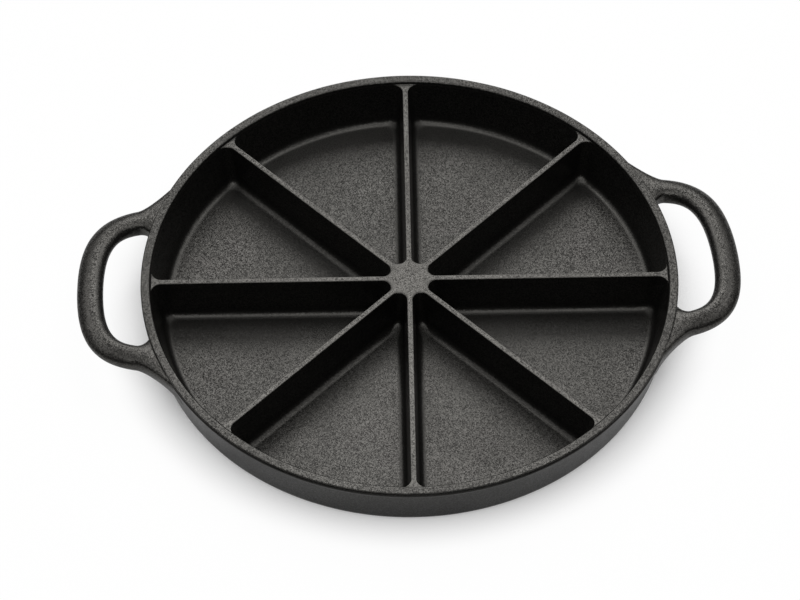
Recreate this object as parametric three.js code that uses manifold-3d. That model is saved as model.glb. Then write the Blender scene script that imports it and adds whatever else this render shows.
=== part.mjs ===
// A round cast-iron wedge pan: a shallow tapered pan whose inside is split by straight dividers
// that run from a central hub to the side wall, with a loop handle on each side.
// Millimetres, +Z up. The pan stands on z = 0 with its axis on the z axis. The first divider lies
// along +x, and the handles stand at -x and, turned a few degrees, at +x.

import * as THREE from 'three';
import { mergeVertices } from 'three/addons/utils/BufferGeometryUtils.js';
import Module from 'manifold-3d';

// Pan body
const RIM_RADIUS = 133;
const PAN_HEIGHT = 28.5;
const FLOOR_THICKNESS = 4.5;
const RIM_WIDTH = 4.6;
const RIM_EDGE_RADIUS = 0.8;
const LIP_DEPTH = 2.4;
const LIP_OVERHANG = 0.5;
const OUTER_DRAFT_DEG = 11.5;
const INNER_DRAFT_DEG = 15;
const BASE_EDGE_RADIUS = 4;
const FLOOR_FILLET = 3.8;

// Dividers, hub and wedge pockets
const POCKET_COUNT = 8;
const DIVIDER_TOP_WIDTH = 3;
const DIVIDER_DROP = 1.7;
const DIVIDER_DRAFT_DEG = 5;
const DIVIDER_EDGE_RADIUS = 0.8;
const CORNER_RADIUS_TOP = 5;
const CORNER_RADIUS_FLOOR = 4.5;
const HUB_RADIUS_TOP = 4.1;
const HUB_RADIUS_FLOOR = 2.8;
const HUB_ARM_STUB = 3.5;
const HUB_FOOT_MARGIN = 1.5;

// Handles: plan sizes run out from the side wall, and to each side of the handle's middle line.
// The flare and the root corner are measured along the wall.
const HANDLE_ANGLES_DEG = { left_handle: 180.5, right_handle: 6.25 };
const HANDLE_REACH = 33;
const GRIP_WIDTH = 13.1;
const FINGER_GAP_HALF = 36.8;
const ARM_WIDTH = 12.2;
const FLARE_HALF = 83.6;
const SHOULDER_OUT = 3.25;
const SHOULDER_SLOPE_DEG = 10;
const GAP_END_OUT = 2.5;
const GAP_END_SLOPE_DEG = 12.7;
const ROOT_CORNER_HALF = 28.8;
const HANDLE_THICKNESS = 10;
const HANDLE_DROP = 1.2;
const GRIP_ROUNDNESS = 2.3;
const ROOT_ROUNDNESS = 4;
const ROOT_EMBED = 1.5;

// Lengths of the tangents that shape the handle's two edges
const FLARE_PULL = 7.7;
const SHOULDER_PULL = 20.4;
const CROWN_PULL = 33;
const CORNER_PULL = 3.5;
const GAP_END_PULL = 9;
const GAP_CROWN_PULL = 30.2;

// Clearance between pieces that meet on a curved face, and depth of the cuts that pass a flat face
const CLEARANCE = 0.3;
const CUT_PAST = 0.1;

// Points closer than these are one point
const WELD_DISTANCE = 1e-4;
const SHORTEST_SIDE = 1e-3;

// Facet counts
const LATHE_SEGMENTS = 96;
const FILLET_STEPS = 4;
const EDGE_STEPS = 2;
const APEX_STEPS = 6;
const CORNER_STEPS = 4;
const ARC_STEPS = 8;
const RAIL_STEPS = 7;
const ROOT_STEPS = 4;
const SECTION_SIDES = 16;

const IRON = { color: 0x39393a, roughness: 0.72, metalness: 0.35 };

const rad = THREE.MathUtils.degToRad;
const DIVIDER_TOP = PAN_HEIGHT - DIVIDER_DROP;
const LIP_BOTTOM = PAN_HEIGHT - LIP_DEPTH;
const HALF_PITCH = Math.PI / POCKET_COUNT;
const OUTER_SLOPE = Math.tan(rad(OUTER_DRAFT_DEG));
const INNER_SLOPE = Math.tan(rad(INNER_DRAFT_DEG));
const DIVIDER_SLOPE = Math.tan(rad(DIVIDER_DRAFT_DEG));

const wasm = await Module();
wasm.setup();

// Closed solids

function solidOf(geometry) {
  const bare = geometry.clone();
  bare.deleteAttribute('normal');
  bare.deleteAttribute('uv');
  const welded = mergeVertices(bare, WELD_DISTANCE);
  return new wasm.Manifold(new wasm.Mesh({
    numProp: 3,
    vertProperties: new Float32Array(welded.attributes.position.array),
    triVerts: new Uint32Array(welded.index.array),
  }));
}

function geometryOf(solid) {
  const mesh = solid.getMesh();
  const geometry = new THREE.BufferGeometry();
  geometry.setAttribute('position', new THREE.BufferAttribute(mesh.vertProperties, 3));
  geometry.setIndex(new THREE.BufferAttribute(mesh.triVerts, 1));
  geometry.computeVertexNormals();
  return geometry;
}

// A solid of revolution about z from a profile of [radius, height] points that runs up its outside.
function revolve(profile, close) {
  const points = profile.map(([radius, height]) => new THREE.Vector2(radius, height));
  if (close) {
    points.push(points[0].clone());
  }
  return new THREE.LatheGeometry(points, LATHE_SEGMENTS).rotateX(Math.PI / 2);
}

// A closed skin through a stack of rings with equal point counts, capped at both ends.
function loft(rings) {
  const sides = rings[0].length;
  const points = rings.flat();
  const index = [];
  for (let ring = 0; ring < rings.length - 1; ring += 1) {
    for (let side = 0; side < sides; side += 1) {
      const a = ring * sides + side;
      const b = ring * sides + (side + 1) % sides;
      index.push(a, b, b + sides, a, b + sides, a + sides);
    }
  }
  const last = (rings.length - 1) * sides;
  for (const [start, flip] of [[0, true], [last, false]]) {
    const middle = points.length;
    const ring = points.slice(start, start + sides);
    points.push(ring.reduce((sum, p) => sum.add(p), new THREE.Vector3()).divideScalar(sides));
    for (let side = 0; side < sides; side += 1) {
      const a = start + side;
      const b = start + (side + 1) % sides;
      index.push(...(flip ? [b, a, middle] : [a, b, middle]));
    }
  }
  const geometry = new THREE.BufferGeometry().setFromPoints(points);
  geometry.setIndex(index);
  return geometry;
}

// Profiles of the pan body

// Outside radius of the side wall, which leans in from the lip down to the base.
function wallRadius(z) {
  return RIM_RADIUS - LIP_OVERHANG - (LIP_BOTTOM - z) * OUTER_SLOPE;
}

// Half the width of a circle at a distance from its middle. A rounding error may carry the distance
// just past the radius.
function chordHalf(radius, distance) {
  return Math.sqrt(Math.max(0, radius ** 2 - distance ** 2));
}

// Inside offset of a leaning face with a fillet at the floor: how far the face at height z stands
// inside its own line at the given top height.
function leanIn(z, top, slope) {
  const centre = FLOOR_THICKNESS + FLOOR_FILLET;
  const tangent = centre - FLOOR_FILLET * Math.sin(Math.atan(slope));
  const height = Math.max(z, FLOOR_THICKNESS);
  if (height >= tangent) {
    return (top - height) * slope;
  }
  const toCentre = (top - centre) * slope + FLOOR_FILLET * Math.hypot(1, slope);
  return toCentre - chordHalf(FLOOR_FILLET, centre - height);
}

// Inside radius of the side wall at height z, down to the edge of the flat floor.
function boreRadius(z) {
  return RIM_RADIUS - RIM_WIDTH - leanIn(z, PAN_HEIGHT, INNER_SLOPE);
}

// Heights from the floor up the fillet to the given top.
function climb(top) {
  const heights = [];
  for (let step = 0; step <= FILLET_STEPS; step += 1) {
    const turn = (step / FILLET_STEPS) * rad(90 - INNER_DRAFT_DEG);
    heights.push(FLOOR_THICKNESS + FLOOR_FILLET * (1 - Math.cos(turn)));
  }
  heights.push(top);
  return heights;
}

// Points of a quarter round, from one compass direction to another about a centre.
function round(radius, height, size, from, to) {
  const points = [];
  for (let step = 0; step <= EDGE_STEPS; step += 1) {
    const turn = rad(from + ((to - from) * step) / EDGE_STEPS);
    points.push([radius + size * Math.cos(turn), height + size * Math.sin(turn)]);
  }
  return points;
}

function floorPlate() {
  const side = -OUTER_DRAFT_DEG;
  const size = Math.min(BASE_EDGE_RADIUS, FLOOR_THICKNESS);
  const reach = size * Math.cos(rad(side));
  const rise = size * (1 + Math.sin(rad(side)));
  const edge = round(wallRadius(rise) - reach, size, size, -90, side);
  const top = [wallRadius(FLOOR_THICKNESS), FLOOR_THICKNESS];
  return revolve([[0, 0], ...edge, top, [0, FLOOR_THICKNESS]], false);
}

function sideWall() {
  const inside = climb(LIP_BOTTOM).map((z) => [boreRadius(z), z]);
  const outside = [FLOOR_THICKNESS, LIP_BOTTOM].map((z) => [wallRadius(z), z]);
  return revolve([...outside, ...inside.reverse()], true);
}

function rimLip() {
  const low = LIP_BOTTOM;
  const edge = PAN_HEIGHT - RIM_EDGE_RADIUS;
  const outer = round(RIM_RADIUS - RIM_EDGE_RADIUS, edge, RIM_EDGE_RADIUS, 0, 90);
  const inner = round(boreRadius(edge) + RIM_EDGE_RADIUS, edge, RIM_EDGE_RADIUS, 90, 180);
  return revolve([[RIM_RADIUS, low], ...outer, ...inner, [boreRadius(low), low]], true);
}

// The pan's outside as one solid of revolution, grown by the given clearance.
function panEnvelope(grow) {
  const low = -PAN_HEIGHT;
  const high = 2 * PAN_HEIGHT;
  const ledge = LIP_BOTTOM - grow;
  const wall = [[wallRadius(low) + grow, low], [wallRadius(LIP_BOTTOM) + grow, ledge]];
  const lip = [[RIM_RADIUS + grow, ledge], [RIM_RADIUS + grow, high]];
  return revolve([[0, low], ...wall, ...lip, [0, high]], false);
}

// Wedge pockets

// Half thickness of a divider at height z, with its top edges rounded over.
function dividerHalf(z) {
  const half = DIVIDER_TOP_WIDTH / 2 + leanIn(z, DIVIDER_TOP, DIVIDER_SLOPE);
  const above = Math.min(z, DIVIDER_TOP) - (DIVIDER_TOP - DIVIDER_EDGE_RADIUS);
  if (above <= 0) {
    return half;
  }
  return half - (DIVIDER_EDGE_RADIUS - chordHalf(DIVIDER_EDGE_RADIUS, above));
}

// A size that changes evenly from the floor to the divider tops.
function byHeight(z, atFloor, atTop) {
  const share = THREE.MathUtils.clamp((z - FLOOR_THICKNESS) / (DIVIDER_TOP - FLOOR_THICKNESS), 0, 1);
  return THREE.MathUtils.lerp(atFloor, atTop, share);
}

// Distance from the pan's axis to the nearest point of a pocket at height z.
function apexRadius(z) {
  const corner = byHeight(z, HUB_RADIUS_FLOOR, HUB_RADIUS_TOP);
  return (dividerHalf(z) + corner) / Math.sin(HALF_PITCH) - corner;
}

// One level of a pocket: a sector with a rounded point at the hub and rounded corners at the wall,
// symmetric about the x axis and listed anticlockwise.
function pocketRing(z, level) {
  const half = dividerHalf(z);
  const bore = boreRadius(z);
  const point = byHeight(z, HUB_RADIUS_FLOOR, HUB_RADIUS_TOP);
  const corner = byHeight(z, CORNER_RADIUS_FLOOR, CORNER_RADIUS_TOP);
  const ring = [];
  const addArc = (x, y, radius, from, to, steps) => {
    for (let step = 0; step <= steps; step += 1) {
      const turn = from + ((to - from) * step) / steps;
      ring.push(new THREE.Vector3(x + radius * Math.cos(turn), y + radius * Math.sin(turn), level));
    }
  };
  const swing = HALF_PITCH - Math.asin((half + corner) / (bore - corner));
  const x = (bore - corner) * Math.cos(swing);
  const y = (bore - corner) * Math.sin(swing);
  const square = Math.PI / 2;
  addArc(x, -y, corner, -square - HALF_PITCH, -swing, CORNER_STEPS);
  addArc(0, 0, bore, -swing, swing, ARC_STEPS);
  addArc(x, y, corner, swing, square + HALF_PITCH, CORNER_STEPS);
  const pointX = (half + point) / Math.sin(HALF_PITCH);
  addArc(pointX, 0, point, square + HALF_PITCH, 3 * square - HALF_PITCH, APEX_STEPS);
  return ring.filter((p, i) => p.distanceTo(ring[(i + 1) % ring.length]) > SHORTEST_SIDE);
}

// The space inside one wedge, between the divider at the given angle and the next one.
function pocket(angle) {
  const edge = DIVIDER_TOP - DIVIDER_EDGE_RADIUS;
  const heights = climb(edge);
  for (let step = 1; step <= EDGE_STEPS; step += 1) {
    heights.push(edge + DIVIDER_EDGE_RADIUS * Math.sin(((step / EDGE_STEPS) * Math.PI) / 2));
  }
  const rings = heights.map((z) => pocketRing(z, z));
  rings.unshift(pocketRing(FLOOR_THICKNESS, FLOOR_THICKNESS - CUT_PAST));
  rings.push(pocketRing(DIVIDER_TOP, PAN_HEIGHT));
  return solidOf(loft(rings).rotateZ(angle + HALF_PITCH));
}

// Dividers and hub

// The round block at the middle of the dividers, wide enough at its foot to hold the hub's fillets.
function hubBlock(grow) {
  const foot = apexRadius(FLOOR_THICKNESS) + HUB_FOOT_MARGIN;
  const head = apexRadius(DIVIDER_TOP) + HUB_ARM_STUB;
  const taper = (foot - head) / (DIVIDER_TOP - FLOOR_THICKNESS);
  const low = FLOOR_THICKNESS - grow;
  const high = DIVIDER_TOP + grow;
  const cone = [[foot + grow * (1 + taper), low], [head + grow * (1 - taper), high]];
  return solidOf(revolve([[0, low], ...cone, [0, high]], false));
}

function hub(pockets) {
  return geometryOf(pockets.reduce((solid, cut) => solid.subtract(cut), hubBlock(0)));
}

// The space inside the side wall up to the divider tops, held clear of the wall.
function dividerRoom() {
  const inside = climb(DIVIDER_TOP).map((z) => [boreRadius(z) - CLEARANCE, z]);
  return solidOf(revolve([[0, FLOOR_THICKNESS], ...inside, [0, DIVIDER_TOP]], false));
}

// One divider along the x axis, from the hub to the side wall, with the flares at both of its ends.
function divider(pockets) {
  const reach = RIM_RADIUS;
  const side = reach * Math.tan(HALF_PITCH) - CLEARANCE / Math.cos(HALF_PITCH) / 2;
  const start = CLEARANCE / Math.sin(HALF_PITCH) / 2;
  const sector = new THREE.Shape();
  sector.moveTo(start, 0);
  sector.lineTo(reach, -side);
  sector.lineTo(reach, side);
  const blank = new THREE.ExtrudeGeometry(sector, { depth: PAN_HEIGHT, bevelEnabled: false });
  const solid = solidOf(blank).intersect(dividerRoom()).subtract(hubBlock(CLEARANCE));
  return geometryOf(solid.subtract(pockets[0]).subtract(pockets[POCKET_COUNT - 1]));
}

// Handles

// One edge of the handle in plan, from the root to the middle of the grip, as two smooth curves.
function halfRail(curves) {
  const [first, second] = curves.map((points) => new THREE.CubicBezierCurve(...points));
  return [...first.getPoints(ROOT_STEPS), ...second.getPoints(RAIL_STEPS).slice(1)];
}

// Plan edges of a handle that points along x: outer edge and finger-gap edge, from the root at +y.
function handleRails(middle) {
  const plan = (x, y) => new THREE.Vector2(x, y);
  const wall = wallRadius(middle);
  const root = wall - ROOT_EMBED;
  const along = (angle, length) => plan(Math.cos(angle) * length, Math.sin(angle) * length);
  const crown = wall + HANDLE_REACH;
  const gapCrown = crown - GRIP_WIDTH;
  const slope = along(-rad(SHOULDER_SLOPE_DEG), 1);

  const flareAngle = FLARE_HALF / root;
  const flare = along(flareAngle, root);
  const flareRun = along(flareAngle - Math.PI / 2, FLARE_PULL);
  const shoulder = plan(wall + SHOULDER_OUT, FINGER_GAP_HALF + ARM_WIDTH);
  const shoulderTurn = shoulder.clone().addScaledVector(slope, SHOULDER_PULL);
  const outer = halfRail([
    [flare, flare.clone().add(flareRun), shoulder.clone().addScaledVector(slope, -FLARE_PULL), shoulder],
    [shoulder, shoulderTurn, plan(crown, CROWN_PULL), plan(crown, 0)],
  ]);

  const cornerAngle = ROOT_CORNER_HALF / root;
  const corner = along(cornerAngle, root);
  const cornerRun = along(cornerAngle + Math.PI / 2, CORNER_PULL);
  const gapEnd = plan(wall + GAP_END_OUT, FINGER_GAP_HALF);
  const gapRun = along(-rad(GAP_END_SLOPE_DEG), 1);
  const gapTurn = gapEnd.clone().addScaledVector(gapRun, GAP_END_PULL);
  const inner = halfRail([
    [corner, corner.clone().add(cornerRun), gapEnd.clone().addScaledVector(gapRun, -CORNER_PULL), gapEnd],
    [gapEnd, gapTurn, plan(gapCrown, GAP_CROWN_PULL), plan(gapCrown, 0)],
  ]);
  return { outer, inner };
}

// One section of the handle between two plan points, as an arc about the pan's axis. It is a flat
// bar that leans with the side wall at the root (share 0) and a rounded bar at the grip (share 1).
function handleSection(outer, inner, middle, share) {
  const { lerp } = THREE.MathUtils;
  const roundness = lerp(ROOT_ROUNDNESS, GRIP_ROUNDNESS, share);
  const power = (value) => Math.sign(value) * Math.abs(value) ** (2 / roundness);
  const ring = [];
  for (let side = 0; side < SECTION_SIDES; side += 1) {
    const turn = (side / SECTION_SIDES) * 2 * Math.PI;
    const across = (1 + power(Math.cos(turn))) / 2;
    const rise = (HANDLE_THICKNESS / 2) * power(Math.sin(turn));
    const radius = lerp(inner.length(), outer.length(), across) + rise * OUTER_SLOPE * (1 - share);
    const angle = lerp(inner.angle(), outer.angle(), across);
    ring.push(new THREE.Vector3(radius * Math.cos(angle), radius * Math.sin(angle), middle + rise));
  }
  return ring;
}

// A loop handle that points along x, with both roots cut to the side wall and the lip.
function handle() {
  const middle = PAN_HEIGHT - HANDLE_DROP - HANDLE_THICKNESS / 2;
  const { outer, inner } = handleRails(middle);
  const half = outer.map((point, i) => {
    const share = THREE.MathUtils.smoothstep(i, 0, ROOT_STEPS + RAIL_STEPS / 2);
    return handleSection(point, inner[i], middle, share);
  });
  const mirror = (ring) => ring.map((p) => new THREE.Vector3(p.x, -p.y, p.z));
  const otherHalf = half.slice(0, -1).reverse().map(mirror);
  const loop = solidOf(loft([...half, ...otherHalf]));
  return geometryOf(loop.subtract(solidOf(panEnvelope(CLEARANCE))));
}

// Assembly

const pan = new THREE.Group();

function addPiece(name, geometry, turn = 0) {
  const mesh = new THREE.Mesh(geometry, new THREE.MeshStandardMaterial(IRON));
  mesh.name = name;
  mesh.rotation.z = turn;
  pan.add(mesh);
}

const pockets = Array.from({ length: POCKET_COUNT }, (_, i) => pocket(i * 2 * HALF_PITCH));
const dividerGeometry = divider(pockets);
const handleGeometry = handle();

addPiece('floor_plate', floorPlate());
addPiece('side_wall', sideWall());
addPiece('rim_lip', rimLip());
addPiece('hub', hub(pockets));
for (let i = 0; i < POCKET_COUNT; i += 1) {
  addPiece(`divider_${i + 1}`, dividerGeometry, i * 2 * HALF_PITCH);
}
for (const [name, angle] of Object.entries(HANDLE_ANGLES_DEG)) {
  addPiece(name, handleGeometry, rad(angle));
}

export default pan;
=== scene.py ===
"""Dresses a cast-iron wedge pan: the seamless casting, its two loop handles and a plain studio."""

import math

import bmesh
import bpy
from bpy.props import FloatProperty, FloatVectorProperty, IntProperty, PointerProperty
from mathutils import Matrix, Vector


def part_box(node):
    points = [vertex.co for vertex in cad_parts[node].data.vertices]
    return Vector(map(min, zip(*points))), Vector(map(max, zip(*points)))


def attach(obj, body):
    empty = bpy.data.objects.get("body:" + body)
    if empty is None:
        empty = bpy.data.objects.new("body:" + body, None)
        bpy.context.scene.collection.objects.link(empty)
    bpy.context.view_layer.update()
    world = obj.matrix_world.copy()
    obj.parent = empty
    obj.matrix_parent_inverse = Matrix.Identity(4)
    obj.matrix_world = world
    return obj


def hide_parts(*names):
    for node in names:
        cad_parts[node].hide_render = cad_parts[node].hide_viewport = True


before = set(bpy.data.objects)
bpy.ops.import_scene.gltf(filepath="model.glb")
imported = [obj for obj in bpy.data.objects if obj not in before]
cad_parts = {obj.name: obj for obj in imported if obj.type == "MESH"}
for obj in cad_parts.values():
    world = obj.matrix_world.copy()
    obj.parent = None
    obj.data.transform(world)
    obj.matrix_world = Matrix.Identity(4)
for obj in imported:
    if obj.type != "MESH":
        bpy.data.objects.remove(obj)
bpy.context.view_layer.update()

bl_info = {
    "name": "Cast-iron wedge pan",
    "version": (1, 0, 0),
    "blender": (4, 5, 0),
    "location": "View3D > Sidebar > Wedge Pan",
    "description": "Builds a seasoned cast-iron wedge pan with its handles and a plain studio",
    "category": "Add Mesh",
}

# Corners, names and counts that the packed solids give
RIM_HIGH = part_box("rim_lip")[1]
FLOOR_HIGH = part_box("floor_plate")[1]
DIVIDER_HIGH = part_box("divider_1")[1]
HANDLE_LOW, HANDLE_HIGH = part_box("left_handle")
PAN_NODES = [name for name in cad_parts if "handle" not in name]
WEDGES = sum(name.startswith("divider") for name in PAN_NODES)

# Columns of the casting's mesh along half a pocket's outline
HUB_COLUMNS = 10
SIDE_COLUMNS = 30
CORNER_COLUMNS = 14
WALL_COLUMNS = 16

# Rows of the casting's mesh, as shares of the stretch that they divide
FLOOR_ROWS = (0, 0.1, 0.22, 0.34, 0.46, 0.57, 0.67, 0.76, 0.84, 0.91, 0.96, 0.985, 1)
SIDE_ROWS = (0.05, 0.2, 0.4, 0.6, 0.8, 0.95, 1)
LAND_ROWS = (0.12, 0.5, 0.88, 1)
UPPER_WALL_ROWS = (0.3, 0.7)
UNDERSIDE_ROWS = (0.99, 0.96, 0.9, 0.8, 0.68, 0.55, 0.42, 0.3, 0.18, 0.08, 0)

# Rows of the casting's mesh round each kind of arc
FILLET_ROWS = 8
EDGE_ROWS = 5
NECK_ROWS = 3
GROOVE_ROWS = 8

# Where the middle of a pocket's floor lies, as a share of the way out to the wall
POCKET_MIDDLE = 2 / 3

# How much of the room at a divider's end its fillet to the wall may take
NECK_ROOM = 0.6

# Points closer than this are one point, within a wedge and between wedges
WEDGE_WELD = 1e-6
RING_WELD = 2e-6

# How much of the sand grain is left on rounded edges, in the fillets, on flat tops and outside
EDGE_GRAIN = 0.4
FILLET_GRAIN = 0.5
LAND_GRAIN = 0.9
OUTSIDE_GRAIN = 0.5

# How far the rim, the handles and the feet of the wall beside the dividers are rubbed, and how much
# painted shade darkens the outside at its top and at the base, as a rubbing below zero
RIM_WEAR = 0.15
HANDLE_WEAR = 0.7
NECK_WEAR = 0.4
OUTSIDE_PAINTED_SHADE = -0.35
BASE_PAINTED_SHADE = -1.0

# Where the wall's painted shade fades on a handle's root, as shares of the handle's thickness
ROOT_PAINTED_SHADE = (0.4, 0.95)

# Rings and sides of a handle's mesh, and the ring from which it has the grip's round section
ROOT_RINGS = 30
GRIP_RINGS = 36
SECTION_SIDES = 56
ROUND_RING = ROOT_RINGS + GRIP_RINGS // 2

# Heights above the table between which the casting's waves set in, so that the underside stays flat
WAVE_START = 0.0005
WAVE_FULL = 0.004

# Detail and roughness of the noise that makes the casting's waves, its finest grain and its patches
WAVE_NOISE = {"Detail": 2.0, "Roughness": 0.45}
GRAIN_NOISE = {"Detail": 2.0, "Roughness": 0.6}
PATCH_NOISE = {"Detail": 4.0, "Roughness": 0.55}

# Values that the patches' noise runs between, and the middle of a pattern that runs from 0 to 1
PATCH_LOW = 0.3
PATCH_HIGH = 0.7
PATTERN_MIDDLE = 0.5

# How far the floor lies under the pan, and the width of the camera's sensor in millimetres
FLOOR_GAP = 0.0001
SENSOR_WIDTH = 36


def size(name, description, default):
    """A length property in metres."""
    return FloatProperty(name=name, description=description, default=default, unit="LENGTH", precision=5)


def angle(name, description, degrees):
    """An angle property, given in degrees."""
    return FloatProperty(
        name=name, description=description, default=math.radians(degrees), subtype="ANGLE", precision=4
    )


def share(name, description, default):
    """A plain number property."""
    return FloatProperty(name=name, description=description, default=default, precision=4)


def colour(name, description, default):
    """A colour property, as linear values."""
    return FloatVectorProperty(
        name=name, description=description, default=default, subtype="COLOR", size=3, min=0, max=1
    )


class PanSizes(bpy.types.PropertyGroup):
    """Sizes of the pan's body."""

    wedges: IntProperty(name="Wedges", description="Number of wedge pockets", default=WEDGES, min=3)
    rim_radius: size("Rim radius", "Outside radius of the rim", RIM_HIGH.y)
    height: size("Height", "Height of the rim above the table", RIM_HIGH.z)
    floor: size("Floor", "Thickness of the bottom", FLOOR_HIGH.z)
    divider_top: size("Divider top", "Height of the dividers above the table", DIVIDER_HIGH.z)
    rim_width: size("Rim width", "Width of the flat rim band", 0.0046)
    rim_outer_round: size("Rim outer round", "Radius of the rim's outer edge", 0.0006)
    rim_inner_round: size("Rim inner round", "Radius of the rim's inner edge", 0.0011)
    groove_depth: size("Groove depth", "Depth of the groove between the rim and the lip", 0.0009)
    groove_height: size("Groove height", "Height of the groove between the rim and the lip", 0.0009)
    lip_depth: size("Lip depth", "How far the lip's lower edge lies under the rim", 0.0032)
    lip_overhang: size("Lip overhang", "How far the lip stands proud of the wall", 0.0004)
    lip_round: size("Lip round", "Radius of the lip's lower edge", 0.0003)
    outer_draft: angle("Outer draft", "Lean of the outside of the wall", 11.5)
    inner_draft: angle("Inner draft", "Lean of the inside of the wall", 15)
    base_round: size("Base round", "Radius of the base edge", 0.004)
    floor_fillet: size("Floor fillet", "Radius of the fillet round each pocket's floor", 0.0038)
    divider_width: size("Divider width", "Width of a divider at its top", 0.003)
    divider_draft: angle("Divider draft", "Lean of the sides of the dividers", 5)
    divider_round: size("Divider round", "Radius of the dividers' top edges", 0.0005)
    corner_top: size("Corner at top", "Plan radius of a pocket's outer corners at the top", 0.005)
    corner_floor: size("Corner at floor", "Plan radius of a pocket's outer corners at the floor", 0.0045)
    hub_top: size("Hub scallop at top", "Plan radius of a pocket's point at the top", 0.0041)
    hub_floor: size("Hub scallop at floor", "Plan radius of a pocket's point at the floor", 0.0028)
    neck_fillet: size("Neck fillet", "Fillet where a divider's top runs into the wall", 0.0004)
    wave_height: size("Wave height", "Height of the casting's slight waves", 0.00016)
    wave_length: size("Wave length", "Width of the casting's slight waves", 0.022)


class HandleSizes(bpy.types.PropertyGroup):
    """Sizes of a loop handle, measured out from the wall and to each side of its middle line."""

    left_turn: angle("Left turn", "Direction of the left handle", 180.5)
    right_turn: angle("Right turn", "Direction of the right handle", 6.25)
    top: size("Top", "Height of the handle's top above the table", HANDLE_HIGH.z)
    thickness: size("Thickness", "Height of the handle's bar", HANDLE_HIGH.z - HANDLE_LOW.z)
    crown: size("Crown", "Distance of the grip's outer edge from the pan's axis", -HANDLE_LOW.x)
    grip_width: size("Grip width", "Width of the grip's bar", 0.0131)
    gap_half: size("Finger gap", "Half the length of the finger gap", 0.0368)
    arm_width: size("Arm width", "Width of the bar beside the finger gap", 0.0122)
    flare_half: size("Flare", "Half the spread of the roots along the wall", 0.0836)
    corner_half: size("Root corner", "Half the distance between the inner root corners", 0.0288)
    shoulder_out: size("Shoulder out", "How far the shoulder stands out", 0.00305)
    shoulder_slope: angle("Shoulder slope", "Slope of the outer edge at the shoulder", 10)
    gap_end_out: size("Gap end out", "How far the end of the finger gap stands out", 0.0023)
    gap_end_slope: angle("Gap end slope", "Slope of the gap's edge at its end", 12.7)
    flare_pull: size("Flare pull", "Tangent length of the outer edge at the root", 0.0077)
    shoulder_pull: size("Shoulder pull", "Tangent length of the outer edge at the shoulder", 0.0204)
    crown_pull: size("Crown pull", "Tangent length of the outer edge at the middle", 0.033)
    corner_pull: size("Corner pull", "Tangent length of the gap's edge at the root", 0.0035)
    gap_end_pull: size("Gap end pull", "Tangent length of the gap's edge at its end", 0.009)
    gap_crown_pull: size("Gap crown pull", "Tangent length of the gap's edge at the middle", 0.0302)
    root_embed: size("Root depth", "How deep the roots run into the wall", 0.0015)
    cove: size("Cove", "Fillet under the roots", 0.004)
    grip_roundness: share("Grip roundness", "2 is an ellipse, more is squarer", 2.2)
    root_roundness: share("Root roundness", "2 is an ellipse, more is squarer", 4)
    grip_droop: share("Grip droop", "How far the grip's top falls away to the outside", 0.4)


class IronFinish(bpy.types.PropertyGroup):
    """The seasoned finish of the cast iron."""

    dark: colour("Dark flecks", "Darkest flecks of the seasoned surface", (0.0181, 0.0175, 0.0163))
    light: colour("Light flecks", "Lightest flecks of the seasoned surface", (0.0631, 0.061, 0.0567))
    worn: colour("Worn iron", "Rubbed tops of the pan and its handles", (0.0872, 0.084, 0.0781))
    # Painted shade: a dark colour laid on the outside of the wall, strongest towards the base, in place of
    # the table's shadow that the wall mirrors
    painted_shade: colour("Painted_shade", "Baked-on soot outside the wall", (0.0078, 0.0075, 0.007))
    metal: share("Metal", "How far the surface reflects as metal", 0.85)
    edge_shine: share("Edge shine", "How bright the metal gets at a grazing angle", 0.75)
    roughness: share("Roughness", "Roughness of the seasoned surface", 0.34)
    patchiness: share("Patchiness", "How far the roughness changes from patch to patch", 0.05)
    facet_size: size("Facet size", "Width of the facets that the sand leaves", 0.0005)
    facet_tilt: share("Facet tilt", "How far the facets tilt", 0.2)
    grain_size: size("Grain size", "Width of the finest grain", 0.0005)
    grain_height: size("Grain height", "Height of the finest grain", 0.00002)
    patch_size: size("Patch size", "Width of the patches in the seasoning", 0.035)


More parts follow.
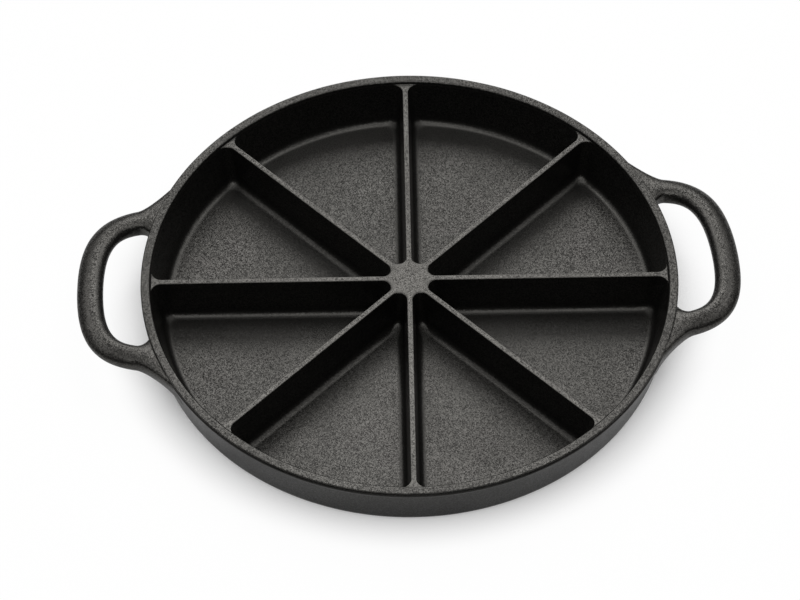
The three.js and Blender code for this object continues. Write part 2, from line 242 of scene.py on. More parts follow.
class StudioSettings(bpy.types.PropertyGroup):
    """The floor, the light and the camera."""

    floor_colour: colour("Floor", "Colour of the floor", (0.97, 0.97, 0.97))
    room_colour: colour("Room", "Colour of the room around the floor", (0.01, 0.01, 0.01))
    floor_half: size("Floor half", "Half the side of the floor", 6)
    shadow_fill: share("Shadow fill", "How far the shadow beside the pan is lightened in the picture", 0.07)
    floor_fill: share("Floor fill", "How far the floor around it is lightened in the picture", 0.97)
    shadow_inner: size("Shadow inner", "Distance from the pan's axis where the shadow starts to fade", 0.113)
    shadow_outer: size("Shadow outer", "Distance from the pan's axis where the shadow has faded", 0.149)
    shadow_stretch: share("Shadow stretch", "How much further the shadow reaches at the handles", 1.05)
    back_strength: share("Back strength", "Strength of the light behind the pan", 0.89)
    back_height: angle("Back height", "Angle of the back light above the table", 37.7)
    back_spread: angle("Back spread", "Angular width of the back light", 30)
    corner_strength: share("Corner strength", "Strength of each light at the back corners", 0.46)
    corner_turn: angle("Corner turn", "Turn of the corner lights from the back", 42)
    corner_height: angle("Corner height", "Angle of the corner lights above the table", 45)
    corner_spread: angle("Corner spread", "Angular width of the corner lights", 32)
    side_strength: share("Side strength", "Strength of each light at the sides", 0.42)
    side_turn: angle("Side turn", "Turn of the side lights from the back", 83)
    side_height: angle("Side height", "Angle of the side lights above the table", 50.5)
    side_spread: angle("Side spread", "Angular width of the side lights", 46)
    front_strength: share("Front strength", "Strength of the light from the front", 0.8)
    front_height: angle("Front height", "Angle of the front light, measured over from the back", 116)
    front_spread: angle("Front spread", "Angular width of the front light", 40)
    near_power: share("Near power", "Watts of the round lamp close above the pan", 0.5)
    near_width: size("Near width", "Width of the round lamp", 0.28)
    near_back: size("Near back", "How far behind the pan's axis the round lamp hangs", 0.184)
    near_height: size("Near height", "Height of the round lamp above the table", 0.5)
    camera_distance: size("Camera distance", "From the camera to its target", 1.955)
    camera_height: angle("Camera height", "Angle of the camera above the table", 51.39)
    camera_yaw: angle("Camera yaw", "Turn of the camera round the pan", -0.45)
    camera_roll: angle("Camera roll", "Turn of the camera about its line of sight", -0.58)
    camera_lens: FloatProperty(name="Lens", description="Focal length", default=176.963, unit="CAMERA")
    target_height: size("Target height", "Height of the camera's target", 0.015)
    aim_side: size("Aim to the side", "Shift of the camera to its right", -0.004728)
    aim_up: size("Aim up", "Shift of the camera upwards", -0.003648)


def blend(a, b, t):
    """The value a share t of the way from a to b."""
    return a + (b - a) * t


def smooth_share(value, low, high):
    """A share that rises smoothly from 0 at the low value to 1 at the high one."""
    t = min(1, max(0, (value - low) / (high - low)))
    return t * t * (3 - 2 * t)


def polar(radius, turn):
    """A plan point at a radius and a turn from the x axis."""
    return Vector((radius * math.cos(turn), radius * math.sin(turn)))


def raised(point, z):
    """A plan point, lifted to height z."""
    return Vector((point.x, point.y, z))


def arc(centre, radius, start, end, steps):
    """Points of a plan arc, both ends included."""
    return [centre + polar(radius, blend(start, end, i / steps)) for i in range(steps + 1)]


def quarter(radius, height, size_of_round, start, end):
    """Profile points of a rounded edge about its middle, both ends included."""
    turns = [blend(start, end, i / EDGE_ROWS) for i in range(EDGE_ROWS + 1)]
    return [(radius + size_of_round * math.cos(t), height + size_of_round * math.sin(t)) for t in turns]


def bezier(points, steps):
    """Points of a cubic curve, both ends included."""
    a, b, c, d = points
    curve = []
    for i in range(steps + 1):
        t = i / steps
        curve.append(a * (1 - t) ** 3 + b * 3 * t * (1 - t) ** 2 + c * 3 * t * t * (1 - t) + d * t**3)
    return curve


class PanShape:
    """Works out the surfaces of the pan's body from its sizes."""

    def __init__(self, sizes):
        self.sizes = sizes
        self.half_pitch = math.pi / sizes.wedges
        self.lip_bottom = sizes.height - sizes.lip_depth

    def wall_radius(self, z):
        """Outside radius of the wall at height z."""
        top = self.sizes.rim_radius - self.sizes.lip_overhang
        return top - (self.lip_bottom - z) * math.tan(self.sizes.outer_draft)

    def lean_in(self, z, top, draft):
        """How far a leaning face at height z stands in from its line at the top, fillet included."""
        fillet = self.sizes.floor_fillet
        centre = self.sizes.floor + fillet
        if z >= centre - fillet * math.sin(draft):
            return (top - z) * math.tan(draft)
        to_centre = (top - centre) * math.tan(draft) + fillet / math.cos(draft)
        return to_centre - math.sqrt(max(0, fillet**2 - (centre - z) ** 2))

    def bore_radius(self, z):
        """Inside radius of the wall at height z."""
        top = self.sizes.rim_radius - self.sizes.rim_width
        return top - self.lean_in(z, self.sizes.height, self.sizes.inner_draft)

    def divider_half(self, z):
        """Half the thickness of a divider at height z, with its rounded top edges."""
        sizes = self.sizes
        edge = sizes.divider_round
        half = sizes.divider_width / 2 + self.lean_in(z, sizes.divider_top, sizes.divider_draft)
        above = max(0, z - (sizes.divider_top - edge))
        return half - (edge - math.sqrt(max(0, edge**2 - above**2)))

    def by_height(self, z, at_floor, at_top):
        """A size that changes evenly from the floor to the divider tops."""
        rise = (z - self.sizes.floor) / (self.sizes.divider_top - self.sizes.floor)
        return blend(at_floor, at_top, min(1, max(0, rise)))

    def half_outline(self, z):
        """Half a pocket's outline at height z, from its point at the hub to the middle of the wall."""
        half = self.divider_half(z)
        bore = self.bore_radius(z)
        point = self.by_height(z, self.sizes.hub_floor, self.sizes.hub_top)
        corner = self.by_height(z, self.sizes.corner_floor, self.sizes.corner_top)
        swing = self.half_pitch - math.asin((half + corner) / (bore - corner))
        flank = math.pi / 2 + self.half_pitch
        point_middle = Vector(((half + point) / math.sin(self.half_pitch), 0))
        hub_arc = arc(point_middle, point, math.pi, flank, HUB_COLUMNS)
        corner_arc = arc(polar(bore - corner, swing), corner, flank, swing, CORNER_COLUMNS)
        side = [hub_arc[-1].lerp(corner_arc[0], i / SIDE_COLUMNS) for i in range(1, SIDE_COLUMNS)]
        wall_arc = arc(Vector((0, 0)), bore, swing, 0, WALL_COLUMNS)
        return hub_arc + side + corner_arc + wall_arc[1:]

    def land_line(self, outline):
        """Where the flat tops beside a pocket end: the hub's middle, the divider's middle line and
        the wall. Also gives the first column that meets the wall."""
        along = polar(1, self.half_pitch)
        bore = self.bore_radius(self.sizes.divider_top)
        first_corner = HUB_COLUMNS + SIDE_COLUMNS
        tangent = outline[first_corner].dot(along)
        corner_end = outline[first_corner + CORNER_COLUMNS]
        swing = math.atan2(corner_end.y, corner_end.x)
        straight = bore - tangent
        turn = round(CORNER_COLUMNS * straight / (straight + bore * (self.half_pitch - swing)))
        line = []
        for j, point in enumerate(outline):
            k = j - first_corner
            if j <= HUB_COLUMNS:
                line.append(along * (outline[HUB_COLUMNS].dot(along) * j / HUB_COLUMNS))
            elif k <= 0:
                line.append(along * point.dot(along))
            elif k <= turn:
                line.append(along * blend(tangent, bore, k / turn))
            elif k <= CORNER_COLUMNS:
                line.append(polar(bore, blend(self.half_pitch, swing, (k - turn) / (CORNER_COLUMNS - turn))))
            else:
                line.append(point.copy())
        return line, first_corner + turn

    def levels(self):
        """Heights of the rows from the floor's edge up to the divider tops."""
        sizes = self.sizes
        steepest = math.pi / 2 - sizes.divider_draft
        turns = [steepest * i / FILLET_ROWS for i in range(1, FILLET_ROWS + 1)]
        fillet = [sizes.floor + sizes.floor_fillet * (1 - math.cos(turn)) for turn in turns]
        edge = sizes.divider_top - sizes.divider_round
        side = [blend(fillet[-1], edge, t) for t in SIDE_ROWS]
        edge_turns = [math.pi / 2 * i / EDGE_ROWS for i in range(1, EDGE_ROWS + 1)]
        rounds = [edge + sizes.divider_round * math.sin(turn) for turn in edge_turns]
        return fillet + side + rounds

    def rim_profile(self):
        """Radius and height of the rows from the rim's inner edge to its outer edge."""
        sizes = self.sizes
        inner = sizes.rim_inner_round
        outer = sizes.rim_outer_round
        inner_edge = sizes.height - inner
        inner_middle = self.bore_radius(inner_edge) + inner / math.cos(sizes.inner_draft)
        outer_middle = sizes.rim_radius - outer
        profile = quarter(inner_middle, inner_edge, inner, math.pi - sizes.inner_draft, math.pi / 2)
        profile += [(blend(inner_middle, outer_middle, t), sizes.height) for t in LAND_ROWS[:-1]]
        return profile + quarter(outer_middle, sizes.height - outer, outer, math.pi / 2, 0)

    def outside_profile(self):
        """Radius and height of the rows from the groove under the rim over the lip, down the outside
        of the wall and under the base to the middle."""
        sizes = self.sizes
        low = sizes.lip_round
        base = sizes.base_round
        groove_top = sizes.height - sizes.rim_outer_round
        profile = []
        for i in range(1, GROOVE_ROWS + 1):
            turn = math.pi * i / GROOVE_ROWS
            drop = sizes.groove_height / 2 * (1 - math.cos(turn))
            profile.append((sizes.rim_radius - sizes.groove_depth * math.sin(turn), groove_top - drop))
        profile += quarter(sizes.rim_radius - low, self.lip_bottom + low, low, 0, -math.pi / 2)
        base_rise = base * (1 - math.sin(sizes.outer_draft))
        base_middle = self.wall_radius(base_rise) - base * math.cos(sizes.outer_draft)
        for t in (0, *SIDE_ROWS[:-1]):
            z = blend(self.lip_bottom, base_rise, t)
            profile.append((self.wall_radius(z), z))
        profile += quarter(base_middle, base, base, -sizes.outer_draft, -math.pi / 2)
        profile += [(base_middle * t, 0) for t in UNDERSIDE_ROWS]
        return profile


def outside_painted_shade(z, height):
    """How much painted shade darkens the outside at height z, more towards the base, as a rubbing below
    zero.
    """
    return blend(BASE_PAINTED_SHADE, OUTSIDE_PAINTED_SHADE, z / height)


def pocket_rows(shape):
    """Rows of half a pocket, from the middle of its floor up to the divider tops."""
    sizes = shape.sizes
    floor_outline = shape.half_outline(sizes.floor)
    middle = Vector((shape.bore_radius(sizes.floor) * POCKET_MIDDLE, 0))
    rows = []
    for t in FLOOR_ROWS:
        points = [raised(middle.lerp(p, t), sizes.floor) for p in floor_outline]
        rows.append((0, points, 0, 1))
    rubbed_from = sizes.divider_top - sizes.divider_round
    fillet_to = sizes.floor + sizes.floor_fillet
    for z in shape.levels():
        points = [raised(p, z) for p in shape.half_outline(z)]
        if z > rubbed_from:
            rows.append((0, points, 1, EDGE_GRAIN))
        elif z < fillet_to:
            rows.append((0, points, 0, FILLET_GRAIN))
        else:
            rows.append((0, points, 0, 1))
    return rows


def land_rows(shape):
    """Rows of the flat tops beside half a pocket, and of the fillets from them up into the wall. Also
    gives the first column at the wall, and the turns and heights at which the fillets end."""
    sizes = shape.sizes
    outline = shape.half_outline(sizes.divider_top)
    line, first = shape.land_line(outline)
    necks = [0] * first
    for point, end in zip(outline[first:], line[first:]):
        necks.append(min(sizes.neck_fillet, NECK_ROOM * (end - point).length))
    ends = [end - end.normalized() * neck for end, neck in zip(line, necks)]
    rows = []
    for t in LAND_ROWS:
        points = [raised(p.lerp(end, t), sizes.divider_top) for p, end in zip(outline, ends)]
        rows.append((0, points, 1, EDGE_GRAIN if t < LAND_ROWS[1] else LAND_GRAIN))

    lean = math.tan(sizes.inner_draft)
    for i in range(1, NECK_ROWS + 1):
        turn = math.pi / 2 * i / NECK_ROWS
        points = []
        for end, neck in zip(ends[first:], necks[first:]):
            rise = neck * (1 - math.cos(turn))
            out = end + end.normalized() * (neck * math.sin(turn) + rise * lean)
            points.append(raised(out, sizes.divider_top + rise))
        rows.append((first, points, NECK_WEAR, LAND_GRAIN))
    turns = [math.atan2(end.y, end.x) for end in line[first:]]
    heights = [sizes.divider_top + neck for neck in necks[first:]]
    return rows, first, turns, heights


def sector_rows(shape):
    """Rows of points for half a wedge, from the middle of the floor to the middle of the underside.
    Each row gives its first column, its points, how far its metal is rubbed bare (a value below zero
    is painted shade, which darkens the outside towards the base) and how much of the sand grain it keeps."""
    lands, first, turns, wall_feet = land_rows(shape)
    rows = pocket_rows(shape) + lands
    rim = shape.rim_profile()
    for t in UPPER_WALL_ROWS:
        heights = [blend(foot, rim[0][1], t) for foot in wall_feet]
        points = [raised(polar(shape.bore_radius(z), turn), z) for turn, z in zip(turns, heights)]
        rows.append((first, points, 0, LAND_GRAIN))
    finished = [(radius, z, RIM_WEAR, LAND_GRAIN) for radius, z in rim]
    # The outside of the wall takes painted shade, darker towards the base
    for radius, z in shape.outside_profile():
        finished.append((radius, z, outside_painted_shade(z, shape.sizes.height), OUTSIDE_GRAIN))
    for radius, z, rubbed, grainy in finished:
        points = [raised(polar(radius, turn), z) for turn in turns]
        rows.append((first, points, rubbed, grainy))
    return rows


def skin_rows(mesh, rows):
    """Fills a mesh with the quads between rows and their mirror images across the x axis, and keeps
    for each point its rubbing, which below zero is painted shade, and how grainy it is."""
    maker = bmesh.new()
    wear_and_shade = maker.verts.layers.float.new("wear_and_shade")
    grain = maker.verts.layers.float.new("grain")
    for side in (1, -1):
        grid = []
        for first, points, rubbed, grainy in rows:
            verts = {}
            for j, point in enumerate(points):
                vert = maker.verts.new((point.x, side * point.y, point.z))
                vert[wear_and_shade] = rubbed
                vert[grain] = grainy
                verts[first + j] = vert
            grid.append(verts)
        for lower, upper in zip(grid, grid[1:]):
            for j in sorted(upper):
                if j in lower and j + 1 in lower and j + 1 in upper:
                    loop = [lower[j], lower[j + 1], upper[j + 1], upper[j]]
                    maker.faces.new(loop if side == 1 else loop[::-1])
    bmesh.ops.remove_doubles(maker, verts=maker.verts, dist=WEDGE_WELD)
    maker.to_mesh(mesh)
    maker.free()


def node(tree, kind, **settings):
    """A new node with its own settings, and values or sockets for its inputs by name or number."""
    made = tree.nodes.new(kind)
    values = settings.pop("inputs", {})
    for name, value in settings.items():
        setattr(made, name, value)
    for name, value in values.items():
        if isinstance(value, bpy.types.NodeSocket):
            tree.links.new(value, made.inputs[name])
        else:
            made.inputs[name].default_value = value
    return made


def number_node(tree, operation, first, second, **settings):
    """Works out a number from two others. Returns its socket."""
    inputs = {0: first, 1: second}
    return node(tree, "ShaderNodeMath", operation=operation, inputs=inputs, **settings).outputs[0]


def vector_node(tree, operation, inputs):
    """Works out a vector from the given inputs. Returns its socket."""
    return node(tree, "ShaderNodeVectorMath", operation=operation, inputs=inputs).outputs[0]


def noise_node(tree, place, scale, look):
    """A noise pattern at a scale, with its detail and roughness. Returns its socket."""
    return node(tree, "ShaderNodeTexNoise", inputs={"Vector": place, "Scale": scale, **look}).outputs[0]


def mixed_colour(tree, factor, first, second):
    """A mix of two colours, each a socket or a plain colour, by a factor. Returns its socket."""
    mix = node(tree, "ShaderNodeMix", data_type="RGBA", inputs={0: factor})
    for name, value in (("A", first), ("B", second)):
        socket = next(s for s in mix.inputs if s.name == name and s.type == "RGBA")
        if isinstance(value, bpy.types.NodeSocket):
            tree.links.new(value, socket)
        else:
            socket.default_value = (*value, 1)
    return next(s for s in mix.outputs if s.type == "RGBA")


def add_input(tree, name, kind, **settings):
    """Adds a named input to a node tree."""
    socket = tree.interface.new_socket(name, in_out="INPUT", socket_type=kind)
    for key, value in settings.items():
        setattr(socket, key, value)


def cast_waves(tree, geometry, height, length):
    """Nodes that sink a surface in slight waves, but leave the underside flat. Returns the geometry."""
    position = node(tree, "GeometryNodeInputPosition").outputs["Position"]
    waves = noise_node(tree, position, number_node(tree, "DIVIDE", 1.0, length), WAVE_NOISE)
    rise = number_node(tree, "MULTIPLY", number_node(tree, "SUBTRACT", waves, 1.0), height)
    above = node(tree, "ShaderNodeSeparateXYZ", inputs={0: position}).outputs["Z"]
    held = node(
        tree,
        "ShaderNodeMapRange",
        interpolation_type="SMOOTHSTEP",
        inputs={"Value": above, "From Min": WAVE_START, "From Max": WAVE_FULL},
    )
    lift = number_node(tree, "MULTIPLY", rise, held.outputs[0])
    normal = node(tree, "GeometryNodeInputNormal").outputs[0]
    offset = vector_node(tree, "SCALE", {0: normal, "Scale": lift})
    moved = node(tree, "GeometryNodeSetPosition", inputs={"Geometry": geometry, "Offset": offset})
    return moved.outputs[0]


def wedge_ring(tree, wedge, count):
    """Nodes that turn copies of a wedge about the z axis into a whole pan. Returns the geometry."""
    points = node(tree, "GeometryNodePoints", inputs={"Count": count}).outputs[0]
    pitch = number_node(tree, "DIVIDE", math.tau, count)
    index = node(tree, "GeometryNodeInputIndex").outputs[0]
    # The first divider lies on the x axis, so a wedge's middle lies half a pitch further round
    turn = number_node(tree, "MULTIPLY", number_node(tree, "ADD", index, 0.5), pitch)
    spin = node(tree, "FunctionNodeAxisAngleToRotation", inputs={"Axis": (0, 0, 1), "Angle": turn})
    ring = node(
        tree,
        "GeometryNodeInstanceOnPoints",
        inputs={"Points": points, "Instance": wedge, "Rotation": spin.outputs[0]},
    )
    whole = node(tree, "GeometryNodeRealizeInstances", inputs={"Geometry": ring.outputs[0]}).outputs[0]
    welded = node(tree, "GeometryNodeMergeByDistance", inputs={"Geometry": whole, "Distance": RING_WELD})
    return welded.outputs[0]


def casting_tree(repeats):
    """A node tree that makes a whole pan of a wedge, or finishes a single piece."""
    tree = bpy.data.node_groups.new("pan_casting" if repeats else "handle_casting", "GeometryNodeTree")
    tree.is_modifier = True
    add_input(tree, "Geometry", "NodeSocketGeometry")
    if repeats:
        add_input(tree, "Wedges", "NodeSocketInt", default_value=WEDGES, min_value=1)
    add_input(tree, "Wave Height", "NodeSocketFloat", subtype="DISTANCE")
    add_input(tree, "Wave Length", "NodeSocketFloat", subtype="DISTANCE", default_value=1)
    add_input(tree, "Iron", "NodeSocketMaterial")
    tree.interface.new_socket("Geometry", in_out="OUTPUT", socket_type="NodeSocketGeometry")
    given = node(tree, "NodeGroupInput").outputs
    geometry = given["Geometry"]
    if repeats:
        geometry = wedge_ring(tree, geometry, given["Wedges"])
    waved = cast_waves(tree, geometry, given["Wave Height"], given["Wave Length"])
    smooth = node(tree, "GeometryNodeSetShadeSmooth", inputs={"Geometry": waved}).outputs[0]
    solid = node(tree, "GeometryNodeRealizeInstances", inputs={"Geometry": smooth}).outputs[0]
    dressed = node(tree, "GeometryNodeSetMaterial", inputs={"Geometry": solid, "Material": given["Iron"]})
    node(tree, "NodeGroupOutput", inputs={"Geometry": dressed.outputs[0]})
    return tree


def finish_casting(name, mesh, tree, values):
    """Runs a mesh through a node tree with the given input values, and returns a plain object."""
    scene = bpy.context.scene
    rough = bpy.data.objects.new(name + "_rough", mesh)
    scene.collection.objects.link(rough)
    modifier = rough.modifiers.new("casting", "NODES")
    modifier.node_group = tree
    for item in tree.interface.items_tree:
        if item.in_out == "INPUT" and item.name in values:
            modifier[item.identifier] = values[item.name]
    graph = bpy.context.evaluated_depsgraph_get()
    made = bpy.data.meshes.new_from_object(rough.evaluated_get(graph), depsgraph=graph)
    made.name = name
    bpy.data.objects.remove(rough)
    piece = bpy.data.objects.new(name, made)
    scene.collection.objects.link(piece)
    return piece


def wave_values(sizes, iron):
    """Input values that every casting shares."""
    return {"Wave Height": sizes.wave_height, "Wave Length": sizes.wave_length, "Iron": iron}


def handle_rails(handle, wall):
    """Plan edges of a handle that points along x, from the root at +y to the middle of the grip:
    the outer edge and the finger gap's edge."""
    root = wall - handle.root_embed
    slope = polar(1, -handle.shoulder_slope)
    flare_turn = handle.flare_half / root
    flare = polar(root, flare_turn)
    flare_run = polar(handle.flare_pull, flare_turn - math.pi / 2)
    shoulder = Vector((wall + handle.shoulder_out, handle.gap_half + handle.arm_width))
    crown = Vector((handle.crown, 0))
    crown_run = Vector((0, handle.crown_pull))
    outer = bezier((flare, flare + flare_run, shoulder - slope * handle.flare_pull, shoulder), ROOT_RINGS)
    grip = (shoulder, shoulder + slope * handle.shoulder_pull, crown + crown_run, crown)
    outer += bezier(grip, GRIP_RINGS)[1:]

    gap_slope = polar(1, -handle.gap_end_slope)
    corner_turn = handle.corner_half / root
    corner = polar(root, corner_turn)
    corner_run = polar(handle.corner_pull, corner_turn + math.pi / 2)
    gap_end = Vector((wall + handle.gap_end_out, handle.gap_half))
    gap_crown = Vector((handle.crown - handle.grip_width, 0))
    gap_crown_run = Vector((0, handle.gap_crown_pull))
    arm = (corner, corner + corner_run, gap_end - gap_slope * handle.corner_pull, gap_end)
    inner = bezier(arm, ROOT_RINGS)
    gap = (gap_end, gap_end + gap_slope * handle.gap_end_pull, gap_crown + gap_crown_run, gap_crown)
    inner += bezier(gap, GRIP_RINGS)[1:]
    return list(zip(outer, inner))


def squared_off(value, roundness):
    """A sine or a cosine, pushed outwards so that a circle becomes a squarer ring."""
    return math.copysign(abs(value) ** (2 / roundness), value)


def handle_section(shape, handle, outer, inner, grip):
    """One ring of a handle between two plan points, as an arc about the pan's axis: a flat bar that
    leans with the wall at the root (grip 0) and a rounded bar at the grip (grip 1)."""
    half = handle.thickness / 2
    roundness = blend(handle.root_roundness, handle.grip_roundness, grip)
    near, far = inner.length, outer.length
    near_turn, far_turn = math.atan2(inner.y, inner.x), math.atan2(outer.y, outer.x)
    ring = []
    for i in range(SECTION_SIDES):
        turn = math.tau * i / SECTION_SIDES
        rise = squared_off(math.sin(turn), roundness)
        outwards = (1 + squared_off(math.cos(turn), roundness)) / 2
        lean = half * rise * math.tan(shape.sizes.outer_draft) * (1 - grip)
        radius = blend(near, far, outwards) + lean
        if rise > 0:
            rise *= 1 - handle.grip_droop * grip * outwards**2
        z = handle.top - half + half * rise
        if rise < 0:
            gap = radius - shape.wall_radius(z)
            inside = min(handle.cove, max(0, handle.cove - gap))
            z += (handle.cove - math.sqrt(handle.cove**2 - inside**2)) * rise
        ring.append(raised(polar(radius, blend(near_turn, far_turn, outwards)), z))
    return ring


def handle_mesh(name, shape, handle, turn):
    """A loop handle, turned to its place on the pan's wall."""
    wall = shape.wall_radius(handle.top - handle.thickness / 2)
    rails = handle_rails(handle, wall)
    grips = [smooth_share(i, 0, ROUND_RING) for i in range(len(rails))]
    half = [handle_section(shape, handle, *rail, grip) for rail, grip in zip(rails, grips)]
    mirrored = [[Vector((p.x, -p.y, p.z)) for p in ring] for ring in half[-2::-1]]
    maker = bmesh.new()
    wear_and_shade = maker.verts.layers.float.new("wear_and_shade")
    grain = maker.verts.layers.float.new("grain")
    rings = []
    for ring, grip in zip(half + mirrored, grips + grips[-2::-1]):
        rings.append([maker.verts.new(point) for point in ring])
        for vert in rings[-1]:
            height = (vert.co.z - handle.top) / handle.thickness + 1
            # The grip and the top of a root are rubbed; lower on the root the wall's painted shade carries
            # on, darker towards the base
            bare = max(grip, smooth_share(height, *ROOT_PAINTED_SHADE))
            vert[wear_and_shade] = blend(outside_painted_shade(vert.co.z, shape.sizes.height), HANDLE_WEAR, bare)
            vert[grain] = blend(OUTSIDE_GRAIN, LAND_GRAIN, bare)
    for ring, following in zip(rings, rings[1:]):
        for i in range(SECTION_SIDES):
            j = (i + 1) % SECTION_SIDES
            maker.faces.new((ring[i], ring[j], following[j], following[i]))
    maker.faces.new(rings[0][::-1])
    maker.faces.new(rings[-1])
    bmesh.ops.recalc_face_normals(maker, faces=maker.faces)
    bmesh.ops.rotate(maker, verts=maker.verts, matrix=Matrix.Rotation(turn, 3, "Z"))
    mesh = bpy.data.meshes.new(name)
    maker.to_mesh(mesh)
    maker.free()
    return mesh


def sand_normal(tree, finish, place, facets, sanded):
    """The surface's direction, tilted from facet to facet and roughened by the finest grain."""
    reach = number_node(tree, "MULTIPLY", sanded, finish.facet_tilt)
    lean = vector_node(tree, "SUBTRACT", {0: facets, 1: (PATTERN_MIDDLE, PATTERN_MIDDLE, PATTERN_MIDDLE)})
    tilt = vector_node(tree, "SCALE", {0: lean, "Scale": reach})
    upright = node(tree, "ShaderNodeNewGeometry").outputs["Normal"]
    tilted = vector_node(tree, "NORMALIZE", {0: vector_node(tree, "ADD", {0: upright, 1: tilt})})
    grain = noise_node(tree, place, 1 / finish.grain_size, GRAIN_NOISE)
    bump = node(
        tree,
        "ShaderNodeBump",
        inputs={"Strength": sanded, "Distance": finish.grain_height, "Height": grain, "Normal": tilted},
    )
    return bump.outputs[0]


def iron_colour(tree, finish, facets, sanded):
    """The metal's colour: flecks, lighter where it is rubbed, and darker with painted shade on the outside
    of the wall, most towards the base.
    """
    fleck = node(tree, "ShaderNodeSeparateColor", inputs={0: facets}).outputs["Green"]
    tone = node(tree, "ShaderNodeMix", inputs={0: sanded, "A": PATTERN_MIDDLE, "B": fleck}).outputs[0]
    wear_and_shade = node(tree, "ShaderNodeAttribute", attribute_name="wear_and_shade").outputs["Fac"]
    rubbed = number_node(tree, "MULTIPLY", wear_and_shade, tone, use_clamp=True)
    # Painted shade: where the rubbing is below zero, a dark colour stands in for the table's shadow that the
    # outside mirrors
    painted_shade_share = number_node(tree, "MULTIPLY", wear_and_shade, -1.0, use_clamp=True)
    seasoned = mixed_colour(tree, tone, finish.dark, finish.light)
    worn = mixed_colour(tree, rubbed, seasoned, finish.worn)
    return mixed_colour(tree, painted_shade_share, worn, finish.painted_shade)


def patchy_roughness(tree, finish, place):
    """The surface's roughness, which changes softly from patch to patch."""
    patches = noise_node(tree, place, 1 / finish.patch_size, PATCH_NOISE)
    roughness = node(
        tree,
        "ShaderNodeMapRange",
        inputs={
            "Value": patches,
            "From Min": PATCH_LOW,
            "From Max": PATCH_HIGH,
            "To Min": finish.roughness - finish.patchiness,
            "To Max": finish.roughness + finish.patchiness,
        },
    )
    return roughness.outputs[0]


def iron_material(finish):
    """Seasoned cast iron: a dark metal with flecks, a fine sand grain, soft patches, rubbed tops and
    painted shade outside, darker towards the base."""
    found = bpy.data.materials.get("seasoned_cast_iron")
    if found:
        return found
    material = bpy.data.materials.new("seasoned_cast_iron")
    material.use_nodes = True
    tree = material.node_tree
    tree.nodes.clear()
    place = node(tree, "ShaderNodeTexCoord").outputs["Object"]
    sanded = node(tree, "ShaderNodeAttribute", attribute_name="grain").outputs["Fac"]
    facets = node(
        tree, "ShaderNodeTexVoronoi", feature="F1", inputs={"Vector": place, "Scale": 1 / finish.facet_size}
    ).outputs["Color"]
    shader = node(
        tree,
        "ShaderNodeBsdfPrincipled",
        inputs={
            "Base Color": iron_colour(tree, finish, facets, sanded),
            "Metallic": finish.metal,
            "Specular Tint": (finish.edge_shine, finish.edge_shine, finish.edge_shine, 1),
            "Roughness": patchy_roughness(tree, finish, place),
            "Normal": sand_normal(tree, finish, place, facets, sanded),
        },
    )
    node(tree, "ShaderNodeOutputMaterial", inputs={"Surface": shader.outputs[0]})
    return material


def keep_piece(piece, *nodes):
    """Ties a finished piece to the pan's body, in place of its solids."""
    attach(piece, "root")
    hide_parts(*nodes)


class WEDGEPAN_OT_casting(bpy.types.Operator):
    """Make the pan's body, with its dividers and hub, as one seamless casting"""

    bl_idname = "wedgepan.casting"
    bl_label = "Pan Casting"

    def execute(self, context):
        sizes = context.scene.pan_sizes
        iron = iron_material(context.scene.iron_finish)
        mesh = bpy.data.meshes.new("wedge")
        skin_rows(mesh, sector_rows(PanShape(sizes)))
        values = {"Wedges": sizes.wedges, **wave_values(sizes, iron)}
        piece = finish_casting("pan_casting", mesh, casting_tree(True), values)
        keep_piece(piece, *PAN_NODES)
        return {"FINISHED"}


class WEDGEPAN_OT_handles(bpy.types.Operator):
    """Make the two loop handles, with their roots in the wall"""

    bl_idname = "wedgepan.handles"
    bl_label = "Loop Handles"

    def execute(self, context):
        sizes = context.scene.pan_sizes
        handle = context.scene.handle_sizes
        iron = iron_material(context.scene.iron_finish)
        tree = casting_tree(False)
        for side, turn in (("left_handle", handle.left_turn), ("right_handle", handle.right_turn)):
            mesh = handle_mesh(side + "_rough", PanShape(sizes), handle, turn)
            piece = finish_casting(side + "_casting", mesh, tree, wave_values(sizes, iron))
            keep_piece(piece, side)
        return {"FINISHED"}


def make_floor(studio):
    """A wide plain floor just under the pan."""
    half = studio.floor_half
    mesh = bpy.data.meshes.new("floor")
    corners = [(-half, -half), (half, -half), (half, half), (-half, half)]
    mesh.from_pydata([(x, y, -FLOOR_GAP) for x, y in corners], [], [(0, 1, 2, 3)])
    floor = bpy.data.objects.new("floor", mesh)
    bpy.context.scene.collection.objects.link(floor)
    mesh.materials.append(floor_material(studio))


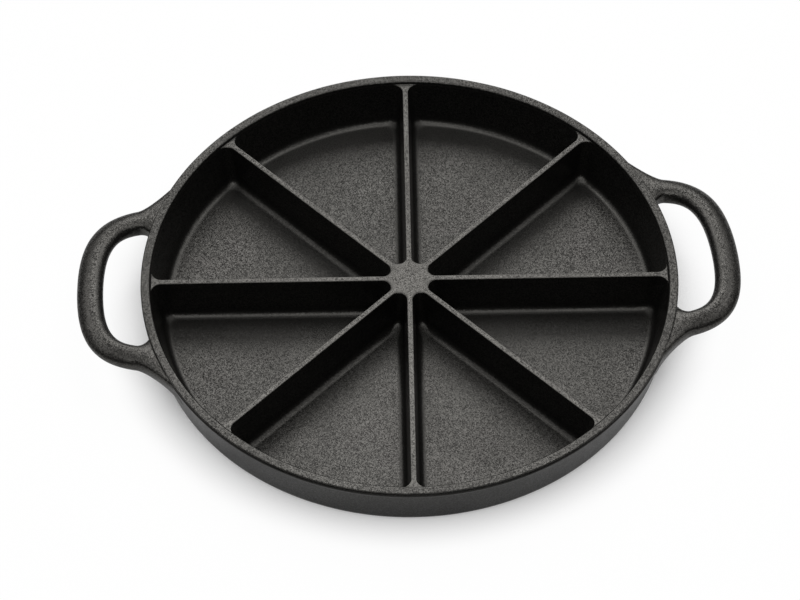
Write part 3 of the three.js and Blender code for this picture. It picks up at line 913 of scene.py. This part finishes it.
def floor_material(studio):
    """A matt white floor, whose shadows are lightened where the camera or a reflection sees it."""
    paper = bpy.data.materials.new("pale_floor")
    paper.use_nodes = True
    tree = paper.node_tree
    tree.nodes.clear()
    matt = node(tree, "ShaderNodeBsdfDiffuse", inputs={"Color": (*studio.floor_colour, 1)})
    glow = node(tree, "ShaderNodeEmission", inputs={"Color": (1, 1, 1, 1), "Strength": 1.0})
    rays = node(tree, "ShaderNodeLightPath").outputs
    mirrored = number_node(tree, "MAXIMUM", rays["Is Glossy Ray"], rays["Is Transmission Ray"])
    seen = number_node(tree, "MAXIMUM", rays["Is Camera Ray"], mirrored)
    place = node(tree, "ShaderNodeTexCoord").outputs["Object"]
    squeezed = vector_node(tree, "MULTIPLY", {0: place, 1: (1 / studio.shadow_stretch, 1, 0)})
    out = node(tree, "ShaderNodeVectorMath", operation="LENGTH", inputs={0: squeezed}).outputs["Value"]
    fade = node(
        tree,
        "ShaderNodeMapRange",
        interpolation_type="SMOOTHSTEP",
        inputs={
            "Value": out,
            "From Min": studio.shadow_inner,
            "From Max": studio.shadow_outer,
            "To Min": studio.shadow_fill,
            "To Max": studio.floor_fill,
        },
    )
    fill = number_node(tree, "MULTIPLY", seen, fade.outputs[0])
    mixed = node(tree, "ShaderNodeMixShader", inputs={0: fill, 1: matt.outputs[0], 2: glow.outputs[0]})
    node(tree, "ShaderNodeOutputMaterial", inputs={"Surface": mixed.outputs[0]})
    return paper


def soft_lamp(name, strength, turn, height, spread):
    """A wide, far lamp. The turn is from the back towards the right, the height from the table."""
    lamp = bpy.data.lights.new(name, "SUN")
    lamp.energy = strength
    lamp.angle = spread
    light = bpy.data.objects.new(name, lamp)
    light.rotation_euler = (height - math.pi / 2, 0, -turn)
    bpy.context.scene.collection.objects.link(light)


def near_lamp(studio):
    """A round lamp that hangs close above the pan and shines at its middle."""
    lamp = bpy.data.lights.new("near_lamp", "AREA")
    lamp.shape = "DISK"
    lamp.size = studio.near_width
    lamp.energy = studio.near_power
    light = bpy.data.objects.new("near_lamp", lamp)
    light.location = (0, studio.near_back, studio.near_height)
    light.rotation_euler = (-math.atan2(studio.near_back, studio.near_height), 0, 0)
    light.visible_camera = False
    bpy.context.scene.collection.objects.link(light)


def make_light(studio):
    """Soft lamps behind, in front of and to both sides of the pan and one above it, in a dim room."""
    scene = bpy.context.scene
    soft_lamp("back_lamp", studio.back_strength, 0, studio.back_height, studio.back_spread)
    soft_lamp("front_lamp", studio.front_strength, 0, studio.front_height, studio.front_spread)
    for side, sign in (("left", -1), ("right", 1)):
        soft_lamp(
            side + "_corner_lamp",
            studio.corner_strength,
            sign * studio.corner_turn,
            studio.corner_height,
            studio.corner_spread,
        )
        soft_lamp(
            side + "_lamp",
            studio.side_strength,
            sign * studio.side_turn,
            studio.side_height,
            studio.side_spread,
        )
    near_lamp(studio)
    room = bpy.data.worlds.new("dim_room")
    room.use_nodes = True
    room.node_tree.nodes["Background"].inputs["Color"].default_value = (*studio.room_colour, 1)
    scene.world = room
    scene.view_settings.view_transform = "Standard"


def make_camera(studio):
    """A camera at the photograph's viewing angle, for a frame of 800 by 600."""
    height, yaw, roll = studio.camera_height, studio.camera_yaw, studio.camera_roll
    back = Vector((math.sin(yaw) * math.cos(height), -math.cos(yaw) * math.cos(height), math.sin(height)))
    level = Vector((math.cos(yaw), math.sin(yaw), 0))
    upright = back.cross(level)
    right = level * math.cos(roll) + upright * math.sin(roll)
    up = upright * math.cos(roll) - level * math.sin(roll)
    data = bpy.data.cameras.new("photo_camera")
    data.sensor_fit = "HORIZONTAL"
    data.sensor_width = SENSOR_WIDTH
    data.lens = studio.camera_lens
    camera = bpy.data.objects.new("photo_camera", data)
    turn = Matrix((right, up, back)).transposed().to_4x4()
    target = Vector((0, 0, studio.target_height))
    place = target + back * studio.camera_distance + right * studio.aim_side + up * studio.aim_up
    camera.matrix_world = Matrix.Translation(place) @ turn
    bpy.context.scene.collection.objects.link(camera)
    bpy.context.scene.camera = camera


class WEDGEPAN_OT_studio(bpy.types.Operator):
    """Make the floor, the soft lamps, the dim room and the camera"""

    bl_idname = "wedgepan.studio"
    bl_label = "Studio"

    def execute(self, context):
        studio = context.scene.studio_settings
        make_floor(studio)
        make_light(studio)
        make_camera(studio)
        return {"FINISHED"}


class WEDGEPAN_PT_sidebar(bpy.types.Panel):
    """Lists the steps that build the pan, and its settings."""

    bl_idname = "WEDGEPAN_PT_sidebar"
    bl_label = "Wedge Pan"
    bl_space_type = "VIEW_3D"
    bl_region_type = "UI"
    bl_category = "Wedge Pan"

    def draw(self, context):
        for operator in OPERATORS:
            self.layout.operator(operator.bl_idname)
        for name, group in GROUPS.items():
            box = self.layout.box()
            box.label(text=group.__doc__)
            settings = getattr(context.scene, name)
            for key in group.__annotations__:
                box.prop(settings, key)


GROUPS = {
    "pan_sizes": PanSizes,
    "handle_sizes": HandleSizes,
    "iron_finish": IronFinish,
    "studio_settings": StudioSettings,
}
OPERATORS = (WEDGEPAN_OT_casting, WEDGEPAN_OT_handles, WEDGEPAN_OT_studio)


def register():
    """Adds the classes and the scene's settings."""
    for name, group in GROUPS.items():
        bpy.utils.register_class(group)
        setattr(bpy.types.Scene, name, PointerProperty(type=group))
    for kind in (*OPERATORS, WEDGEPAN_PT_sidebar):
        bpy.utils.register_class(kind)


def unregister():
    """Removes what register added."""
    for kind in (WEDGEPAN_PT_sidebar, *reversed(OPERATORS)):
        bpy.utils.unregister_class(kind)
    for name, group in reversed(GROUPS.items()):
        delattr(bpy.types.Scene, name)
        bpy.utils.unregister_class(group)


def main():
    """Builds the pan and its studio."""
    register()
    bpy.ops.wedgepan.casting()
    bpy.ops.wedgepan.handles()
    bpy.ops.wedgepan.studio()


if __name__ == "__main__":
    main()
